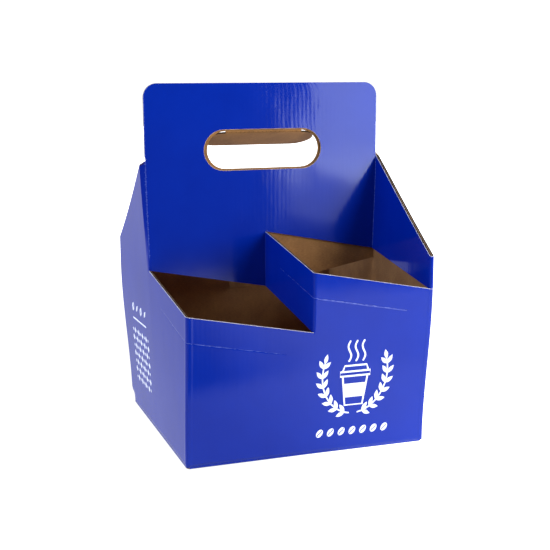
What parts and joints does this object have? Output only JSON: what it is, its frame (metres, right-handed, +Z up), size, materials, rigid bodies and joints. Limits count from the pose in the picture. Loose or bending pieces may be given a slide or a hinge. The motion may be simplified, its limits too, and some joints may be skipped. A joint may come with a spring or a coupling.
{
  "type": "cardboard cup carrier",
  "caption": "Folded corrugated-board carrier with stepped cup pockets either side of a tall double-layer handle with a rounded hand slot.",
  "frame": {"origin": "centre of the base, on the plane that the carrier stands on", "axes": "+Z up, +X along the handle, -Y towards the front, where the low pocket is on the left"},
  "size_m": [0.18, 0.18, 0.255],
  "materials": {
    "board": "glossy blue print outside, bare brown kraft inside and on the cut edges"
  },
  "bodies": {
    "root": {"carrier": "board"}
  },
  "joints": []
}
